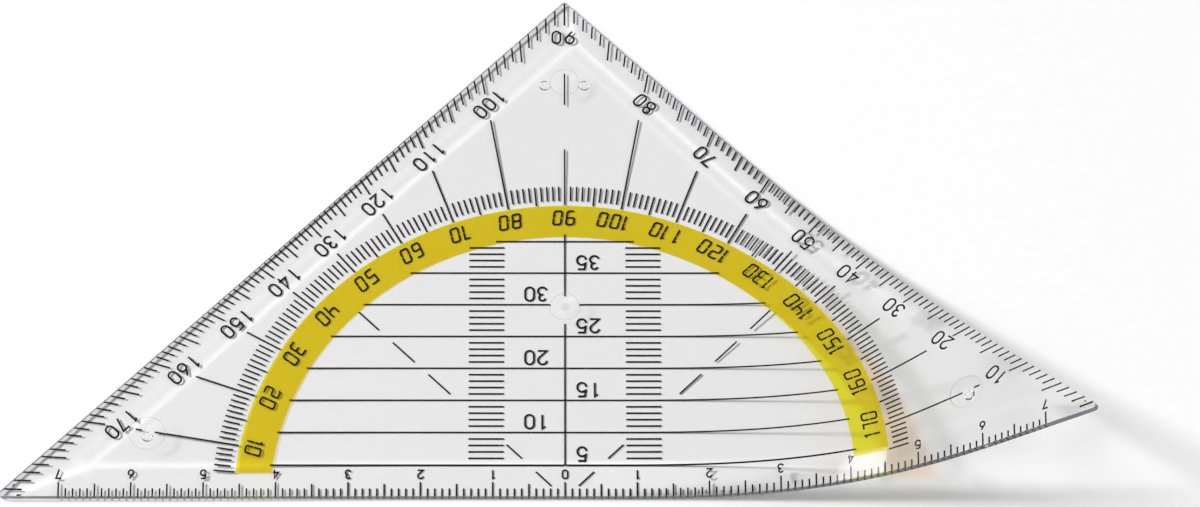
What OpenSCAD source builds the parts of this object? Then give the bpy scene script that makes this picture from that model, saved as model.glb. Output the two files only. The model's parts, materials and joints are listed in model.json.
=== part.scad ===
// Protractor set square: a clear flexible right-angled triangle. Its underside carries a
// millimetre scale, a protractor and parallel rulings, and it rests on small moulded feet.
// Lengths are in millimetres. The measuring edge runs along X, its zero mark is the origin,
// and the underside of the flat part lies at height 0. One corner of the plate is flexed up.

/* [Outline] */
// Half of the measuring edge, which is also the height of the triangle
half_edge = 78.8; // [76:0.2:90]
// Radius that rounds the three corners
corner_r = 0.5; // [0.2:0.1:1.2]

/* [Thickness] */
// Thickness at the edges
edge_t = 0.8; // [0.8:0.1:1.4]
// Thickness of the field inside the sloped rim
field_t = 1.5; // [1.4:0.1:2.4]
// Width of the rim that slopes from the field down to the edges
rim_w = 4.7; // [3.6:0.1:5.4]

/* [Flex] */
// Tilt of the flexed corner at its end, in degrees
flex_tilt = 35.7; // [1:0.1:50]
// Angle by which the bend runs askew to the measuring edge, in degrees
flex_skew = 15.5; // [0:0.5:30]
// Distance from the zero mark at which the bend starts
flex_start = 3.8; // [0:0.1:20]
// Length over which the tilt grows
flex_run = 61.9; // [50:0.1:80]

/* [Feet and moulding marks] */
// Height of the feet under the plate
foot_h = 0.5; // [0.3:0.1:1]
// Diameter of the feet
foot_d = 1.5; // [1:0.1:2]
// Distance of the side feet from the tips, along the measuring edge
side_foot_inset = 20.9; // [20:0.1:24]
// Distance of the side feet from the measuring edge
side_foot_v = 9.4; // [8.6:0.1:10]
// Distance between the two feet at the right angle
apex_foot_pitch = 5.7; // [4:0.1:6.4]
// Distance of those feet from the tip of the right angle
apex_foot_inset = 13.6; // [12.8:0.1:16]
// Diameter of the ejector marks over the side feet
side_mark_d = 5; // [3:0.1:5]
// Diameter of the ejector mark at the right angle
apex_mark_d = 4.2; // [3:0.1:5]
// Diameter of the gate mark in the middle
gate_mark_d = 4.2; // [3:0.1:5]
// Diameter of the gate stub in that mark
gate_stub_d = 1.1; // [0.6:0.1:1.6]
// Distance of the gate mark from the measuring edge
gate_v = 29.2; // [27.5:0.1:29.4]
// Depth of these marks in the top face
mark_depth = 0.1; // [0.05:0.01:0.2]

/* [Print] */
// Width of the ticks and of the millimetre marks
tick_w = 0.23; // [0.18:0.01:0.34]
// Width of the rulings, the centre line and the dashes
ruling_w = 0.22; // [0.14:0.01:0.26]
// Width of the radial lines
radial_w = 0.24; // [0.16:0.01:0.3]
// Thickness of a print layer
print_t = 0.05; // [0.03:0.01:0.08]
// Room between the plate and the black print, and between black and yellow
print_gap = 0.03; // [0.02:0.01:0.05]
// Distance that the print keeps from the plate's edges
edge_clear = 0.05; // [0.05:0.05:0.3]
// Distance that the print keeps from a foot
foot_clear = 0.45; // [0.2:0.05:0.6]
// Distance that the print keeps from the middle of the gate mark
gate_clear = 2.2; // [1.8:0.1:2.6]

/* [Edge scales] */
// Least distance of the millimetre scale's ends from the tips
scale_inset = 6; // [4:0.1:8]
// Inner end of the millimetre and degree ticks, from the edge
short_tick = 1.5; // [1:0.1:1.8]
// Inner end of the 5 mm ticks, from the edge
middle_tick = 2.2; // [1.9:0.1:2.3]
// Inner end of the 10 mm and 5 degree ticks, from the edge
long_tick = 2.45; // [2.35:0.05:2.8]
// How much further in the ticks of the left leg end, where the print sits off centre
left_leg_reach = 0.25; // [0:0.05:0.4]

/* [Protractor] */
// Distance of the degree arc from the legs, where it comes nearest to them
arc_inset = 6.92; // [6.5:0.01:9]
// Length of the degree ticks on the arc
arc_tick = 2.3; // [1.6:0.1:3]
// Room between the band and the degree ticks
arc_tick_clear = 0.75; // [0.4:0.05:1]
// Room between the band and the 5 degree ticks
band_clear = 0.1; // [0.05:0.05:0.3]
// Width of the yellow band
band_w = 5; // [4:0.1:6]
// Distance of the band's cut ends from the measuring edge
band_base = 3.9; // [3:0.1:4.4]
// First degree tick of the arc
arc_first = 5; // [5:1:9]
// Outer end of the radial lines, from the legs
radial_inset = 6.2; // [6:0.1:7]

/* [Rulings] */
// How far the rulings and the centre line lap over the band
ruling_lap = 0.4; // [0:0.1:0.8]
// Inner end of the millimetre columns, from the middle
column_inner = 8.5; // [6:0.1:9]
// Outer end of the millimetre columns, from the middle
column_outer = 13.4; // [11:0.1:14]
// Distance of the centre line's upper end from the tip of the right angle
centre_inset = 11.7; // [10:0.1:12.5]
// Length of the centre line's upper stretch
centre_upper = 5.1; // [3:0.1:6]
// Length of the gap below that stretch
centre_gap = 7.2; // [5:0.1:8]
// Room between the ends of a 45 degree dash and the rulings
dash_clear = 0.97; // [0.5:0.01:1.4]
// Room between the 45 degree dashes and the scales beside them
dash_scale_clear = 0.4; // [0.2:0.05:0.8]

/* [Hidden] */
clear_colour = "#e4e6ea";
black_colour = "#231f20";
yellow_colour = "#d5be14";

// The scale is numbered in centimetres, and the rulings stand this far apart
centimetre = 10;
ruling_step = 5;
scale_reach = centimetre * floor((half_edge - scale_inset) / centimetre);

// Radii of the protractor, from the legs inwards
arc_tick_outer = half_edge / sqrt(2) - arc_inset;
arc_tick_inner = arc_tick_outer - arc_tick;
band_outer = arc_tick_inner - arc_tick_clear;
band_inner = band_outer - band_w;
last_ruling = ruling_step * floor(band_inner / ruling_step);

// Ends of the centre line's upper stretch and of the gap below it
centre_top = half_edge - centre_inset;
centre_gap_top = centre_top - centre_upper;
centre_gap_base = centre_gap_top - centre_gap;

// Levels of the two print layers' upper faces
black_level = -print_gap;
yellow_level = black_level - print_t - print_gap;

// The triangle's corners in counter-clockwise order, with the directions in which the edges
// that meet there face, and the centre and radius of the circle that touches all edges
corners = [[-half_edge, 0], [half_edge, 0], [0, half_edge]];
corner_faces = [[135, 270], [-90, 45], [45, 135]];
edge_steps = [60, 42, 42];
corner_steps = 4;
inner_r = half_edge * (sqrt(2) - 1);
inner_centre = [0, inner_r];

// Distances from the edges at which the plate's faces are divided, and its thickness there
field_steps = 6;
field_step = (inner_r - rim_w) / (field_steps + 1);
insets = concat([0, rim_w / 2], [for (i = [0 : field_steps]) rim_w + i * field_step]);
thickness = [[0, edge_t], [rim_w, field_t]];

// Feet and marks on the plate
side_foot_u = half_edge - side_foot_inset;
apex_foot_v = half_edge - apex_foot_inset;
side_feet = [[-side_foot_u, side_foot_v], [side_foot_u, side_foot_v]];
apex_feet = [[-apex_foot_pitch / 2, apex_foot_v], [apex_foot_pitch / 2, apex_foot_v]];
feet = concat(side_feet, apex_feet);
foot_free_r = foot_d / 2 + foot_clear;
round_steps = 32;

// Longest piece of a printed line that stays straight on the flexed part
stroke_step = 2.5;
band_steps = 86;
band_rows = 3;

// Tilt of the plate in degrees at a distance along the bend, growing from 0 to flex_tilt
function tilt_at(s) =
    let (share = min(max((s - flex_start) / flex_run, 0), 1))
    flex_tilt * share * share * (3 - 2 * share);

// The flexed plate's section: each row holds a distance along the plate, the reach and the lift
path_step = 0.5;
path_end = 2 * half_edge;
bend_path = concat(
    [[-path_end, -path_end, 0]],
    [for (
        s = flex_start, reach = flex_start, lift = 0;
        s <= path_end;
        reach = reach + path_step * cos(tilt_at(s + path_step / 2)),
        lift = lift + path_step * sin(tilt_at(s + path_step / 2)),
        s = s + path_step
    ) [s, reach, lift]]
);
bend_reach = [for (row = bend_path) [row[0], row[1]]];
bend_lift = [for (row = bend_path) [row[0], row[2]]];

// Distance of a plate point along the bend
function station(p) = p.x * cos(flex_skew) - p.y * sin(flex_skew);

// Place of a plate point at a height over the underside, on the flexed plate
function bent(p, height) =
    let (
        s = station(p),
        across = p.x * sin(flex_skew) + p.y * cos(flex_skew),
        reach = lookup(s, bend_reach) - height * sin(tilt_at(s)),
        lift = lookup(s, bend_lift) + height * cos(tilt_at(s))
    )
    [
        reach * cos(flex_skew) + across * sin(flex_skew),
        across * cos(flex_skew) - reach * sin(flex_skew),
        lift
    ];

// Point on a ray from the zero mark
function polar(r, angle) = r * [cos(angle), sin(angle)];

// Distance from the zero mark, along a ray, to the line that lies inside a leg by an inset
function leg_r(angle, inset) = (half_edge - inset * sqrt(2)) / (abs(cos(angle)) + sin(angle));

// Half of the stretch that a circle takes out of a line passing its middle at a distance
function half_chord(r, distance) = sqrt(max(r * r - distance * distance, 0));

// Points of the plate's outline, with the corners rounded
function corner_arc(i) =
    let (
        centre = corners[i] + (inner_centre - corners[i]) * corner_r / inner_r,
        turn = corner_faces[i][1] - corner_faces[i][0]
    )
    [for (k = [0 : corner_steps]) centre + polar(corner_r, corner_faces[i][0] + turn * k / corner_steps)];

function edge_points(i) =
    let (
        first = corner_arc(i)[corner_steps],
        last = corner_arc((i + 1) % 3)[0]
    )
    [for (k = [1 : edge_steps[i] - 1]) first + (last - first) * k / edge_steps[i]];

outline = [for (i = [0 : 2]) each concat(corner_arc(i), edge_points(i))];

// The outline drawn in towards the middle by an inset
function ring(inset) = [for (p = outline) inner_centre + (p - inner_centre) * (1 - inset / inner_r)];

// Rows of triangles between two neighbouring rings of points, the second one inside the first
function ring_faces(outer, inner, count) = [
    for (k = [0 : count - 1])
        let (next = (k + 1) % count)
        each [[outer + k, inner + next, outer + next], [outer + k, inner + k, inner + next]]
];

function fan_faces(loop, tip, count) = [for (k = [0 : count - 1]) [loop + k, tip, loop + (k + 1) % count]];

function turned(faces) = [for (face = faces) [face[2], face[1], face[0]]];

// The moulding without its feet and marks: rings of points on the top face and the underside
module plate_body() {
    count = len(outline);
    rings = len(insets);
    under = rings * count;
    top_tip = 2 * under;
    points = concat(
        [for (inset = insets) each [for (p = ring(inset)) bent(p, lookup(inset, thickness))]],
        [for (inset = insets) each [for (p = ring(inset)) bent(p, 0)]],
        [bent(inner_centre, field_t), bent(inner_centre, 0)]
    );
    top = concat(
        [for (i = [0 : rings - 2]) each ring_faces(i * count, (i + 1) * count, count)],
        fan_faces((rings - 1) * count, top_tip, count)
    );
    underside = concat(
        [for (i = [0 : rings - 2]) each ring_faces(under + i * count, under + (i + 1) * count, count)],
        fan_faces(under + (rings - 1) * count, top_tip + 1, count)
    );
    wall = ring_faces(under, 0, count);
    polyhedron(points, concat(top, turned(underside), wall));
}

// Sets its children on the flexed plate, with their Z axis square to it
module on_plate(p, height) {
    translate(bent(p, height))
        rotate(a = -tilt_at(station(p)), v = [sin(flex_skew), cos(flex_skew), 0])
            children();
}

// Shallow round mark in the top face
module round_mark(p, diameter) {
    on_plate(p, field_t - mark_depth)
        cylinder(d = diameter, h = field_t, $fn = round_steps);
}

// Thin closed print layer over rows of plate points. Each row goes from right to left of the way
// in which the rows follow each other.
module print_sheet(rows, level) {
    wide = len(rows[0]);
    long = len(rows);
    under = wide * long;
    upper = [for (row = rows) each [for (p = row) bent(p, level)]];
    lower = [for (row = rows) each [for (p = row) bent(p, level - print_t)]];
    cells = [
        for (i = [0 : long - 2], j = [0 : wide - 2])
            let (a = i * wide + j, b = a + wide)
            each [[a, a + 1, b + 1], [a, b + 1, b]]
    ];
    rim = concat(
        [for (i = [0 : long - 1]) i * wide],
        [for (j = [1 : wide - 1]) (long - 1) * wide + j],
        [for (i = [1 : long - 1]) (long - i) * wide - 1],
        [for (j = [1 : 1 : wide - 2]) wide - 1 - j]
    );
    walls = [
        for (k = [0 : len(rim) - 1])
            let (a = rim[k], b = rim[(k + 1) % len(rim)])
            each [[a, b, b + under], [a, b + under, a + under]]
    ];
    polyhedron(
        concat(upper, lower),
        concat(cells, [for (cell = turned(cells)) cell + [under, under, under]], walls)
    );
}

// Printed line between two plate points. At its end the left side reaches further than the middle
// by a slant, and the right side less far.
module stroke(a, b, width, slant = 0) {
    run = norm(b - a);
    ahead = (b - a) / run;
    side = [-ahead.y, ahead.x] * width / 2;
    lead = ahead * slant;
    if (max(station(a), station(b)) + width <= flex_start) {
        translate([0, 0, black_level - print_t])
            linear_extrude(print_t)
                polygon([a - side, b - side - lead, b + side + lead, a + side]);
    } else {
        steps = ceil(run / stroke_step);
        rows = [for (i = [0 : steps - 1]) let (p = a + (b - a) * i / steps) [p - side, p + side]];
        print_sheet(concat(rows, [[b - side - lead, b + side + lead]]), black_level);
    }
}

// Degree ticks along a leg, cut off along its edge, or under the rounded tip of the right angle
module leg_scale(first, last, reach) {
    tip = half_edge - corner_r * (sqrt(2) - 1) - edge_clear;
    for (angle = [first : last]) {
        inner = reach + (angle % 5 == 0 ? long_tick : short_tick);
        outer_r = min(leg_r(angle, edge_clear), tip);
        lean = (sin(angle) - abs(cos(angle))) / (sin(angle) + abs(cos(angle)));
        slant = sign(cos(angle)) * lean * tick_w / 2;
        stroke(polar(leg_r(angle, inner), angle), polar(outer_r, angle), tick_w, slant);
    }
}

// Rulings on one side of the centre line, the one at the gate mark shortened
module rulings(side) {
    for (v = [ruling_step : ruling_step : last_ruling]) {
        start = max(ruling_w / 2, half_chord(gate_clear, v - gate_v));
        stroke([side * start, v], [side * half_chord(band_inner + ruling_lap, v), v], ruling_w);
    }
}

// Column of millimetre marks between the rulings
module mm_column(side) {
    for (v = [ruling_step + 1 : last_ruling - 1]) {
        if (v % ruling_step != 0) {
            stroke([side * column_inner, v], [side * column_outer, v], tick_w);
        }
    }
}

module clear_plate() {
    color(clear_colour) {
        difference() {
            union() {
                plate_body();
                for (p = feet) {
                    on_plate(p, -foot_h)
                        cylinder(d = foot_d, h = foot_h + edge_t / 2, $fn = round_steps);
                }
            }
            for (p = side_feet) {
                round_mark(p, side_mark_d);
            }
            round_mark([0, apex_foot_v], apex_mark_d);
            difference() {
                round_mark([0, gate_v], gate_mark_d);
                translate([0, gate_v, 0])
                    cylinder(d = gate_stub_d, h = field_t - mark_depth / 2, $fn = round_steps);
            }
        }
    }
}

module yellow_band() {
    radii = [for (j = [0 : band_rows]) band_outer + (band_inner - band_outer) * j / band_rows];
    color(yellow_colour) {
        print_sheet(
            [for (i = [0 : band_steps]) [
                for (r = radii)
                    let (end = asin(band_base / r))
                    polar(r, end + (180 - 2 * end) * i / band_steps)
            ]],
            yellow_level
        );
    }
}

module edge_scale() {
    color(black_colour) {
        for (u = [-scale_reach : scale_reach]) {
            inner = u % centimetre == 0 ? long_tick : u % ruling_step == 0 ? middle_tick : short_tick;
            stroke([u, edge_clear], [u, inner], tick_w);
        }
    }
}

module left_leg_scale() {
    color(black_colour) leg_scale(90, 179, left_leg_reach);
}

module right_leg_scale() {
    color(black_colour) leg_scale(1, 89, 0);
}

module arc_scale() {
    color(black_colour) {
        for (angle = [arc_first : 180 - arc_first]) {
            inner = angle % 5 == 0 ? band_outer + band_clear : arc_tick_inner;
            if (angle % 10 != 0) {
                stroke(polar(inner, angle), polar(arc_tick_outer, angle), tick_w);
            }
        }
    }
}

// Radial lines at every 10 degrees, broken where they pass a foot
module radial_lines() {
    color(black_colour) {
        for (angle = [10 : 10 : 170]) {
            ray = polar(1, angle);
            inner = band_outer + band_clear;
            outer = leg_r(angle, radial_inset);
            foot = side_feet[angle > 90 ? 0 : 1];
            middle = foot * ray;
            gap = half_chord(foot_free_r, cross(ray, foot));
            if (angle != 90) {
                if (gap > 0) {
                    stroke(ray * inner, ray * (middle - gap), radial_w);
                    stroke(ray * (middle + gap), ray * outer, radial_w);
                } else {
                    stroke(ray * inner, ray * outer, radial_w);
                }
            }
        }
    }
}

module left_rulings() {
    color(black_colour) rulings(-1);
}

module right_rulings() {
    color(black_colour) rulings(1);
}

module centre_line() {
    color(black_colour) {
        stroke([0, centre_gap_top], [0, centre_top], ruling_w);
        stroke([0, band_outer + band_clear], [0, centre_gap_base], ruling_w);
        stroke([0, gate_v + gate_clear], [0, band_inner + ruling_lap], ruling_w);
        stroke([0, ruling_step], [0, gate_v - gate_clear], ruling_w);
    }
}

module left_mm_column() {
    color(black_colour) mm_column(-1);
}

module right_mm_column() {
    color(black_colour) mm_column(1);
}

// Dashes on the two 45 degree lines, one in each space between rulings that no column fills
module diagonal_dashes() {
    color(black_colour) {
        for (side = [-1, 1], v = [0 : ruling_step : last_ruling]) {
            low = max(v + dash_clear, short_tick + dash_scale_clear);
            reach = min(v + ruling_step - dash_clear, band_inner / sqrt(2));
            high = low < column_inner ? min(reach, column_inner - dash_scale_clear) : reach;
            if (high > low && (high < column_inner || low > column_outer)) {
                stroke([side * low, low], [side * high, high], ruling_w);
            }
        }
    }
}

clear_plate();
yellow_band();
edge_scale();
left_leg_scale();
right_leg_scale();
arc_scale();
radial_lines();
left_rulings();
right_rulings();
centre_line();
left_mm_column();
right_mm_column();
diagonal_dashes();
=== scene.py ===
import json
import math

import bmesh
import bpy
from mathutils import Matrix, Vector
from mathutils.geometry import delaunay_2d_cdt, intersect_point_line

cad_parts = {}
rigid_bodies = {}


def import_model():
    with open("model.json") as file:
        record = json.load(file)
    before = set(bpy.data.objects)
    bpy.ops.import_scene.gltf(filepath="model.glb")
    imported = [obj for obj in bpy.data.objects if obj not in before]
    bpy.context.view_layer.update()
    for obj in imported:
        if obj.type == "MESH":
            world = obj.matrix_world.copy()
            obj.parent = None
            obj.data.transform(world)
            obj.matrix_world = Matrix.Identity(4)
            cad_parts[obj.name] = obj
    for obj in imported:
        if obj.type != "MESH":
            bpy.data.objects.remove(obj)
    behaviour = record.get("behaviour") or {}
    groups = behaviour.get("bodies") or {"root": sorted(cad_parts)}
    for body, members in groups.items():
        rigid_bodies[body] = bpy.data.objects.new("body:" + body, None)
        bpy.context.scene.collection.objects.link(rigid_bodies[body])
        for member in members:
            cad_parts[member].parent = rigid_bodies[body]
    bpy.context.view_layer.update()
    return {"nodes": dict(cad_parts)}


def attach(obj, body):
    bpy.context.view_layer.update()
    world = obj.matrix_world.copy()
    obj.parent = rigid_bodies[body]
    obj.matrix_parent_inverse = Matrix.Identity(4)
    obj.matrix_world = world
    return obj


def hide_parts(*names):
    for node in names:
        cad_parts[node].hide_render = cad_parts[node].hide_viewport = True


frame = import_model()

# Lengths are millimetres on the flat plate unless a name says otherwise, and become metres with MM.
# U runs along the measuring edge from its zero mark, V across the plate towards the right angle.
MM = 0.001
ROOT2 = math.sqrt(2)

# Outline and section of the moulding
HALF_EDGE = 78.8
CORNER_R = 0.51
EDGE_T = 0.8
FIELD_T = 1.5
RIM_W = 4.7
RIM_SLOPE = (FIELD_T - EDGE_T) / RIM_W
EDGE_R = 0.06
# The underside lies this low, so that the print's upper faces sit just inside the plastic
UNDERSIDE = -0.05
# Rounding of the ridge between the rim and the field, and its rows' distances from the edge
CREASE_R = 0.4
CREASE = [RIM_W + CREASE_R * k / 4 for k in range(-4, 5)]
# The circle that touches all three edges
INNER_R = HALF_EDGE * (ROOT2 - 1)
INNER_CENTRE = Vector((0, INNER_R))

# Flex of the plate, with its angles in degrees
FLEX_TILT = 35.7
FLEX_SKEW = 15.5
FLEX_START = 3.8
FLEX_RUN = 61.9

# Feet and moulding marks
FOOT_H = 0.5
FOOT_R = 0.75
SIDE_FEET = [(-57.9, 9.4), (57.9, 9.4)]
APEX_FEET = [(-2.85, 65.2), (2.85, 65.2)]
FEET = SIDE_FEET + APEX_FEET
GATE = (0, 29.2)
STUB_R = 0.55
# Centre and radius of each shallow round mark in the top face
MARKS = [(spot, 2.5) for spot in SIDE_FEET] + [((0, 65.2), 2.1), (GATE, 2.1)]
MARK_DEPTH = 0.1
MARK_EDGE = 0.06

# Fineness of the plate's mesh: spacing of the points in its faces, inset of the underside's face,
# distance of the extra rings round a mark, and width of the flat faces beside a bend
SPACING = 1.7
UNDER_INSET = 0.6
MARK_RING = 0.35
FLAT = 0.03

# Print
PRINT_T = 0.05
BLACK_TOP = -0.03
YELLOW_TOP = -0.045
YELLOW_T = 0.06
BAND_OUTER = 45.75
BAND_INNER = 40.75
BAND_BASE = 3.9
TICK_W = 0.23
SCALE_END = 70

# Painted light and shade, in the light that passes the plastic, and so on the table below
# Light that enters this close to the measuring edge is thrown sideways, so the edge casts a dark
# line. The line widens with the flex until U is SHADE_GROWN, and narrows again towards the tip,
# where the last of the widening is at the first of SHADE_NARROWS.
EDGE_SHADE = 0.25
FLEXED_SHADE = 4
SHADE_GROWN = 45
SHADE_NARROWS = (74, 44)
# Width of the right leg's line, share of the measuring edge's line that is fully dark, and darkness
RIGHT_SHADE = 2.4
SHADE_CORE = 0.4
SHADE_DEPTH = 0.9
# Light that enters a wall below this height stays in the plate, apart from a small share
WALL_SHADE = 0.36
WALL_GAIN = 0.05
# Width and darkness of the strip that this leaves under the left leg, where the key lamp shines in
LEFT_SHADE = 0.5
LEFT_DEPTH = 0.8
# The ridge round the field and the hips between the rims gather light into pale lines on the
# underside, at these distances from the measuring edge, the left leg and the right leg
PALE_LINE = (5.25, 5.4, 3.9)
PALE_WIDTH = 0.35
PALE_GAIN = 0.27
# The fill lamp draws fainter ones along the legs, on the other side of the ridge
FAINT_LINE = (7, 3.5, 5.75)
FAINT_GAIN = 0.09
HIP_WIDTH = 0.45
HIP_GAIN = 0.38
# A hip's line starts this far from its tip: along and across the measuring edge, or down from
# the apex
TIP_OFF = (2.8, 1.1)
APEX_OFF = 1.9
# A round mark gains light on the side of the key lamp and loses it on the other
MARK_GAIN = 0.3
MARK_GLOW = 0.25
KEY_SIDE = (-0.8, 0.6)

# Painted shade on the measuring edge's wall, and how far it eases towards the flexed tip
WALL_PAINTED_TONE = 0.52
TIP_SHADE_EASE = 0.3
TIP_SHADE_EASES = (55, 72)
# Painted shade on the steps round the marks, which reach this far from a mark's radius
MARK_STEP_PAINTED_TONE = 0.7
STEP_REACH = 1.1 * MARK_EDGE
# The gate's stub was torn off, so its clearness goes up and down round it
STUB_CLARITY = 0.72
STUB_UNEVEN = 0.14
STUB_LOBES = 5

# Painted reflection: the glare's patch is kept by a mask on the reflections
# The flexed rim mirrors only in a patch: it ends between these distances from the measuring edge,
# short of the band, and starts between these places along it, which lean with that distance
GLARE_ENDS = (4.0, 3.2)
GLARE_STARTS = (36.3, 38.3)
GLARE_LEAN = 0.85

# Painted reflection of the yellow band's ends in the wall before them: distances from the band's
# middle, and strength
BAND_REFLECTION_FADES = (4.0, 2.4)
BAND_REFLECTION = 0.8

PLASTIC_IOR = 1.5

# Level of the table under the middle of the plate
FLOOR_LEVEL = -0.19
# The table dips to the feet, from the first to the second distance from the left tip and the apex
LEFT_DIP = (60, 24)
APEX_DIP = (42, 15)


def linear(colour):
    """Linear RGBA of an sRGB hex colour."""
    parts = [int(colour[i : i + 2], 16) / 255 for i in (1, 3, 5)]
    light = [c / 12.92 if c <= 0.04045 else ((c + 0.055) / 1.055) ** 2.4 for c in parts]
    return (*light, 1.0)


def add_node(tree, kind, inputs=None, **settings):
    """Add a node with its settings; an input is a value, or the output socket that feeds it."""
    node = tree.nodes.new(kind)
    for name, value in settings.items():
        setattr(node, name, value)
    for socket, value in (inputs or {}).items():
        if isinstance(value, bpy.types.NodeSocket):
            tree.links.new(value, node.inputs[socket])
        else:
            node.inputs[socket].default_value = value
    return node


def maths(tree, operation, *values):
    """Output of a math node."""
    inputs = dict(enumerate(values))
    return add_node(tree, "ShaderNodeMath", inputs, operation=operation).outputs[0]


def combined(tree, **parts):
    """Vector of its parts X, Y and Z."""
    return add_node(tree, "ShaderNodeCombineXYZ", parts).outputs[0]


def separated(tree, vector):
    """Parts of a vector, by the names X, Y and Z."""
    return add_node(tree, "ShaderNodeSeparateXYZ", {0: vector}).outputs


def mapped(tree, value, given, wanted):
    """Value mapped from one range to another."""
    ends = dict(zip(("From Min", "From Max", "To Min", "To Max"), given + wanted))
    return add_node(tree, "ShaderNodeMapRange", {"Value": value, **ends}).outputs["Result"]


def mixed(tree, factor, first, second, blend="MIX"):
    """Mix of two colours."""
    inputs = {"Factor": factor, "A": first, "B": second}
    mix = add_node(tree, "ShaderNodeMix", inputs, data_type="RGBA", blend_type=blend)
    return mix.outputs["Result"]


def noise(tree, size, **settings):
    """Noise on the object's own coordinates, with clouds of a size in millimetres."""
    place = add_node(tree, "ShaderNodeTexCoord").outputs["Object"]
    inputs = {"Vector": place, "Scale": 1 / (size * MM), **settings}
    return add_node(tree, "ShaderNodeTexNoise", inputs).outputs["Fac"]


def bumped(tree, height, strength, depth):
    """Normal of a surface that is bumped up to a depth in millimetres."""
    inputs = {"Height": height, "Strength": strength, "Distance": depth * MM}
    return add_node(tree, "ShaderNodeBump", inputs).outputs["Normal"]


def attribute(tree, name, output="Color"):
    """What the mesh stores in its points under a name."""
    return add_node(tree, "ShaderNodeAttribute", attribute_name=name).outputs[output]


def principled(tree, inputs):
    return add_node(tree, "ShaderNodeBsdfPrincipled", inputs).outputs["BSDF"]


def mixed_shader(tree, factor, first, second):
    return add_node(tree, "ShaderNodeMixShader", {0: factor, 1: first, 2: second}).outputs["Shader"]


def see_through(tree, colour):
    return add_node(tree, "ShaderNodeBsdfTransparent", {"Color": colour}).outputs["BSDF"]


def finished(tree, surface):
    add_node(tree, "ShaderNodeOutputMaterial", {"Surface": surface})


def lit_through(tree, body, passed):
    """Finish a clear material: lamps and bounced light pass straight, tinted by passed."""
    rays = add_node(tree, "ShaderNodeLightPath").outputs
    clear = see_through(tree, passed)
    bounced = mixed_shader(tree, rays["Is Diffuse Ray"], body, clear)
    finished(tree, mixed_shader(tree, rays["Is Shadow Ray"], bounced, clear))


def empty_material(name):
    material = bpy.data.materials.new(name)
    material.use_nodes = True
    material.node_tree.nodes.clear()
    return material, material.node_tree


def clear_plastic():
    # Flexible clear plastic, moulded against polished steel: glossy and colourless, with a slight
    # ripple from its flow and a haze of fine rubbing.
    material, tree = empty_material("clear_flexible_plastic")
    # Flow ripples are about 14 mm long
    ripple = bumped(tree, noise(tree, 14, Detail=1), 0.05, 0.2)
    # Rubbed patches are about 6 mm wide, with streaks down to half a millimetre
    rub = noise(tree, 6, Detail=4, Roughness=0.6)
    # Painted shade on the steps round the moulding marks; the gate's rough stub is a little dull
    tone = mixed(tree, 1.0, linear("#fbfbfb"), attribute(tree, "clarity"), "MULTIPLY")
    body = principled(
        tree,
        {
            "Base Color": tone,
            "Roughness": mapped(tree, rub, (0.35, 0.75), (0.0, 0.03)),
            "IOR": PLASTIC_IOR,
            # A painted mask stops the glare on the flexed rim short of the band's end
            "Specular Tint": attribute(tree, "sheen"),
            "Transmission Weight": 1.0,
            "Normal": ripple,
        },
    )
    # Painted shade and light: less passes at the edges, more along the ridge round the field
    passed = mixed(tree, 1.0, linear("#f8f8f8"), attribute(tree, "gain"), "MULTIPLY")
    lit_through(tree, body, passed)
    return material


def clear_plastic_edge():
    # The same plastic on the walls round the plate: a little duller from the parting of the mould,
    # and painted violet-grey for the light seen through the plate's depth.
    material, tree = empty_material("clear_flexible_plastic_edge")
    # Drag marks of the mould are about 0.8 mm apart
    drag = noise(tree, 0.8, Detail=3)
    # Painted shade for the plate's depth: less of it lies behind the legs' walls and the flexed tip
    tone = mixed(tree, 1.0, linear("#e6e2f6"), attribute(tree, "clarity"), "MULTIPLY")
    # The measuring edge's wall has painted on it what is printed behind it: a painted reflection of
    #     the band's ends, and the ticks as seen through the wall
    place = attribute(tree, "along", "Fac")
    from_zero = maths(tree, "ABSOLUTE", place)
    from_band = maths(tree, "SUBTRACT", from_zero, (BAND_OUTER + BAND_INNER) / 2)
    behind = mapped(tree, maths(tree, "ABSOLUTE", from_band), BAND_REFLECTION_FADES, (0.0, BAND_REFLECTION))
    with_band_reflection = mixed(tree, behind, tone, linear("#cbd16b"))
    # Ticks stand at whole millimetres, so a place is at most half a millimetre from one
    off_tick = maths(tree, "PINGPONG", place, 0.5)
    in_tick = maths(tree, "LESS_THAN", off_tick, TICK_W / 2)
    on_scale = maths(tree, "LESS_THAN", from_zero, SCALE_END + 0.5)
    ticked = mixed(tree, maths(tree, "MULTIPLY", in_tick, on_scale), with_band_reflection, linear("#232022"))
    body = principled(
        tree,
        {
            "Base Color": ticked,
            "Roughness": mapped(tree, drag, (0.3, 0.7), (0.0, 0.04)),
            "IOR": PLASTIC_IOR,
            "Transmission Weight": 0.6,
        },
    )
    # The light that passes the wall, with painted shade low down
    lit_through(tree, body, attribute(tree, "gain"))
    return material


def black_ink():
    # Black screen-printing ink on the underside: matt, a soft warm black that is a little thinner
    # where the mesh of the screen left less ink.
    material, tree = empty_material("black_screen_ink")
    # The screen's mesh is about 0.1 mm, drawn at 0.3 mm so that it shows
    mesh = noise(tree, 0.3, Detail=2)
    ink = principled(
        tree,
        {
            "Base Color": mixed(tree, mesh, linear("#1b1718"), linear("#2c2728")),
            "Roughness": 0.6,
            "Specular IOR Level": 0.05,
            "Normal": bumped(tree, mesh, 0.3, 0.01),
        },
    )
    finished(tree, ink)
    return material


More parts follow.
